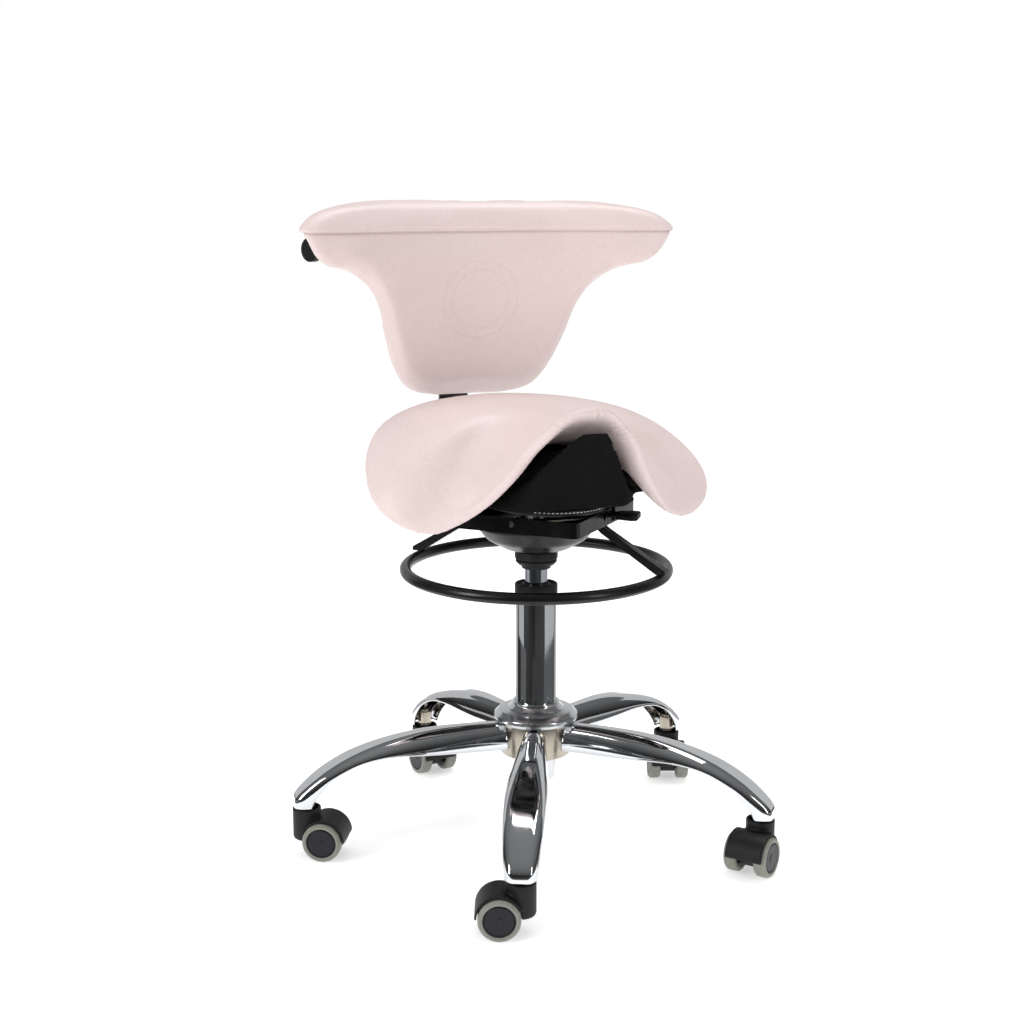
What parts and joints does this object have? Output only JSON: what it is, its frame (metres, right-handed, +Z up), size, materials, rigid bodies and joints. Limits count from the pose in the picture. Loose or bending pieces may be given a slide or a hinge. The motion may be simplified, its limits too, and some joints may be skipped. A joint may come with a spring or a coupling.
{
  "type": "saddle stool",
  "caption": "Wheeled saddle stool with a gas lift, a footring, a tilting saddle seat and a height- and angle-adjustable wrap-around backrest.",
  "frame": {"origin": "on the floor, under the middle of the stool's footprint", "axes": "+Z up, +Y towards the backrest, so the sitter faces -Y and +X is on the sitter's left"},
  "size_m": [0.571, 0.6417, 0.78],
  "materials": {
    "chrome": "mirror-polished chrome plate over steel",
    "steel": "bright zinc-nickel plated steel",
    "black_paint": "semi-gloss black powder coat",
    "black_nylon": "moulded black nylon, fine matt texture",
    "grey_tread": "soft grey polyurethane tread",
    "black_rubber": "matt black rubber",
    "pink_leather": "fine-grained pale pink coated leather, satin",
    "black_fabric": "matt black non-woven cloth with a fine fleck",
    "plywood": "raw moulded beech plywood"
  },
  "bodies": {
    "base": {"base_hub": "steel", "hub_trim_ring": "chrome", "column_tube": "chrome", "guide_sleeve": "black_nylon", "base_arm_1": "chrome", "base_arm_2": "chrome", "base_arm_3": "chrome", "base_arm_4": "chrome", "base_arm_5": "chrome", "caster_stem_1": "steel", "caster_stem_2": "steel", "caster_stem_3": "steel", "caster_stem_4": "steel", "caster_stem_5": "steel"},
    "caster_1": {"caster_yoke_1": "black_nylon", "caster_axle_1": "steel"},
    "wheel_left_1": {"wheel_left_1": "grey_tread"},
    "wheel_right_1": {"wheel_right_1": "grey_tread"},
    "caster_2": {"caster_yoke_2": "black_nylon", "caster_axle_2": "steel"},
    "wheel_left_2": {"wheel_left_2": "grey_tread"},
    "wheel_right_2": {"wheel_right_2": "grey_tread"},
    "caster_3": {"caster_yoke_3": "black_nylon", "caster_axle_3": "steel"},
    "wheel_left_3": {"wheel_left_3": "grey_tread"},
    "wheel_right_3": {"wheel_right_3": "grey_tread"},
    "caster_4": {"caster_yoke_4": "black_nylon", "caster_axle_4": "steel"},
    "wheel_left_4": {"wheel_left_4": "grey_tread"},
    "wheel_right_4": {"wheel_right_4": "grey_tread"},
    "caster_5": {"caster_yoke_5": "black_nylon", "caster_axle_5": "steel"},
    "wheel_left_5": {"wheel_left_5": "grey_tread"},
    "wheel_right_5": {"wheel_right_5": "grey_tread"},
    "piston": {"piston_rod": "steel", "bump_stop": "black_rubber"},
    "mechanism": {"gas_cylinder": "chrome", "lift_collar": "black_rubber", "mechanism_cup": "black_paint", "mechanism_tray": "black_paint", "tilt_axle": "steel", "footring": "black_paint", "footring_bar_left": "black_paint", "footring_bar_right": "black_paint", "backrest_bar": "black_paint"},
    "seat": {"seat_plate": "black_paint", "seat_base": "black_fabric", "seat_skirt": "black_fabric", "seat_shell": "plywood", "seat_cushion": "pink_leather"},
    "height_lever": {"height_lever": "black_nylon"},
    "valve_button": {"valve_button": "steel"},
    "tilt_lever": {"tilt_lever": "black_nylon"},
    "carrier": {"backrest_carrier": "black_nylon"},
    "backrest_knob": {"backrest_knob": "black_nylon"},
    "backrest": {"backrest_frame": "black_paint", "tube_cap_left": "black_nylon", "tube_cap_right": "black_nylon", "backrest_board": "black_nylon", "backrest_cushion": "pink_leather"}
  },
  "joints": [
    {"name": "caster_swivel_1", "type": "hinge", "parent": "base", "child": "caster_1", "pos_m": [-0.10051, -0.29445, 0.05], "axis": [0, 0, 1], "continuous": true},
    {"name": "wheel_roll_left_1", "type": "hinge", "parent": "caster_1", "child": "wheel_left_1", "pos_m": [-0.12213, -0.28658, 0.0235], "axis": [-0.342, -0.9397, 0], "continuous": true},
    {"name": "wheel_roll_right_1", "type": "hinge", "parent": "caster_1", "child": "wheel_right_1", "pos_m": [-0.12213, -0.28658, 0.0235], "axis": [-0.342, -0.9397, 0], "continuous": true},
    {"name": "caster_swivel_2", "type": "hinge", "parent": "base", "child": "caster_2", "pos_m": [0.22605, -0.22503, 0.05], "axis": [0, 0, 1], "continuous": true},
    {"name": "wheel_roll_left_2", "type": "hinge", "parent": "caster_2", "child": "wheel_left_2", "pos_m": [0.20793, -0.23919, 0.0235], "axis": [0.6157, -0.788, 0], "continuous": true},
    {"name": "wheel_roll_right_2", "type": "hinge", "parent": "caster_2", "child": "wheel_right_2", "pos_m": [0.20793, -0.23919, 0.0235], "axis": [0.6157, -0.788, 0], "continuous": true},
    {"name": "caster_swivel_3", "type": "hinge", "parent": "base", "child": "caster_3", "pos_m": [0.26095, 0.107, 0.05], "axis": [0, 0, 1], "continuous": true},
    {"name": "wheel_roll_left_3", "type": "hinge", "parent": "caster_3", "child": "wheel_left_3", "pos_m": [0.25309, 0.08539, 0.0235], "axis": [0.9397, -0.342, 0], "continuous": true},
    {"name": "wheel_roll_right_3", "type": "hinge", "parent": "caster_3", "child": "wheel_right_3", "pos_m": [0.25309, 0.08539, 0.0235], "axis": [0.9397, -0.342, 0], "continuous": true},
    {"name": "caster_swivel_4", "type": "hinge", "parent": "base", "child": "caster_4", "pos_m": [-0.04405, 0.24279, 0.05], "axis": [0, 0, 1], "continuous": true},
    {"name": "wheel_roll_left_4", "type": "hinge", "parent": "caster_4", "child": "wheel_left_4", "pos_m": [-0.04005, 0.22014, 0.0235], "axis": [0.9848, 0.1736, 0], "continuous": true},
    {"name": "wheel_roll_right_4", "type": "hinge", "parent": "caster_4", "child": "wheel_right_4", "pos_m": [-0.04005, 0.22014, 0.0235], "axis": [0.9848, 0.1736, 0], "continuous": true},
    {"name": "caster_swivel_5", "type": "hinge", "parent": "base", "child": "caster_5", "pos_m": [-0.26744, -0.00531, 0.05], "axis": [0, 0, 1], "continuous": true},
    {"name": "wheel_roll_left_5", "type": "hinge", "parent": "caster_5", "child": "wheel_left_5", "pos_m": [-0.24714, -0.01611, 0.0235], "axis": [0.4695, 0.8829, 0], "continuous": true},
    {"name": "wheel_roll_right_5", "type": "hinge", "parent": "caster_5", "child": "wheel_right_5", "pos_m": [-0.24714, -0.01611, 0.0235], "axis": [0.4695, 0.8829, 0], "continuous": true},
    {"name": "seat_swivel", "type": "hinge", "parent": "base", "child": "piston", "pos_m": [0.015, -0.035, 0.08], "axis": [0, 0, 1], "continuous": true},
    {"name": "seat_lift", "type": "slide", "parent": "piston", "child": "mechanism", "axis": [0, 0, 1], "range_m": [0, 0.13]},
    {"name": "seat_tilt", "type": "hinge", "parent": "mechanism", "child": "seat", "pos_m": [0.015, -0.105, 0.4085], "axis": [1, 0, 0], "range_deg": [0, 5]},
    {"name": "height_lever_lift", "type": "hinge", "parent": "mechanism", "child": "height_lever", "pos_m": [0.0465, -0.05625, 0.4075], "axis": [-0.5592, -0.829, 0], "range_deg": [0, 6], "stiffness_Nm_per_rad": 2, "springref_deg": -2.86},
    {"name": "tilt_lever_lift", "type": "hinge", "parent": "mechanism", "child": "tilt_lever", "pos_m": [0.04494, -0.01161, 0.4075], "axis": [0.6157, -0.788, 0], "range_deg": [0, 6]},
    {"name": "valve_press", "type": "slide", "parent": "mechanism", "child": "valve_button", "axis": [0, 0, -1], "range_m": [0, 0.005]},
    {"name": "backrest_height", "type": "slide", "parent": "mechanism", "child": "carrier", "axis": [0, 0, 1], "range_m": [0, 0.07]},
    {"name": "knob_turn", "type": "hinge", "parent": "carrier", "child": "backrest_knob", "pos_m": [0.015, 0.3, 0.566], "axis": [0, 1, 0], "range_deg": [-540, 0]},
    {"name": "backrest_angle", "type": "hinge", "parent": "carrier", "child": "backrest", "pos_m": [0.015, 0.263, 0.566], "axis": [1, 0, 0], "range_deg": [-8, 8]}
  ],
  "couplings": [
    {"joint": "valve_press", "follows": "height_lever_lift", "m_per_rad": 0.038}
  ]
}
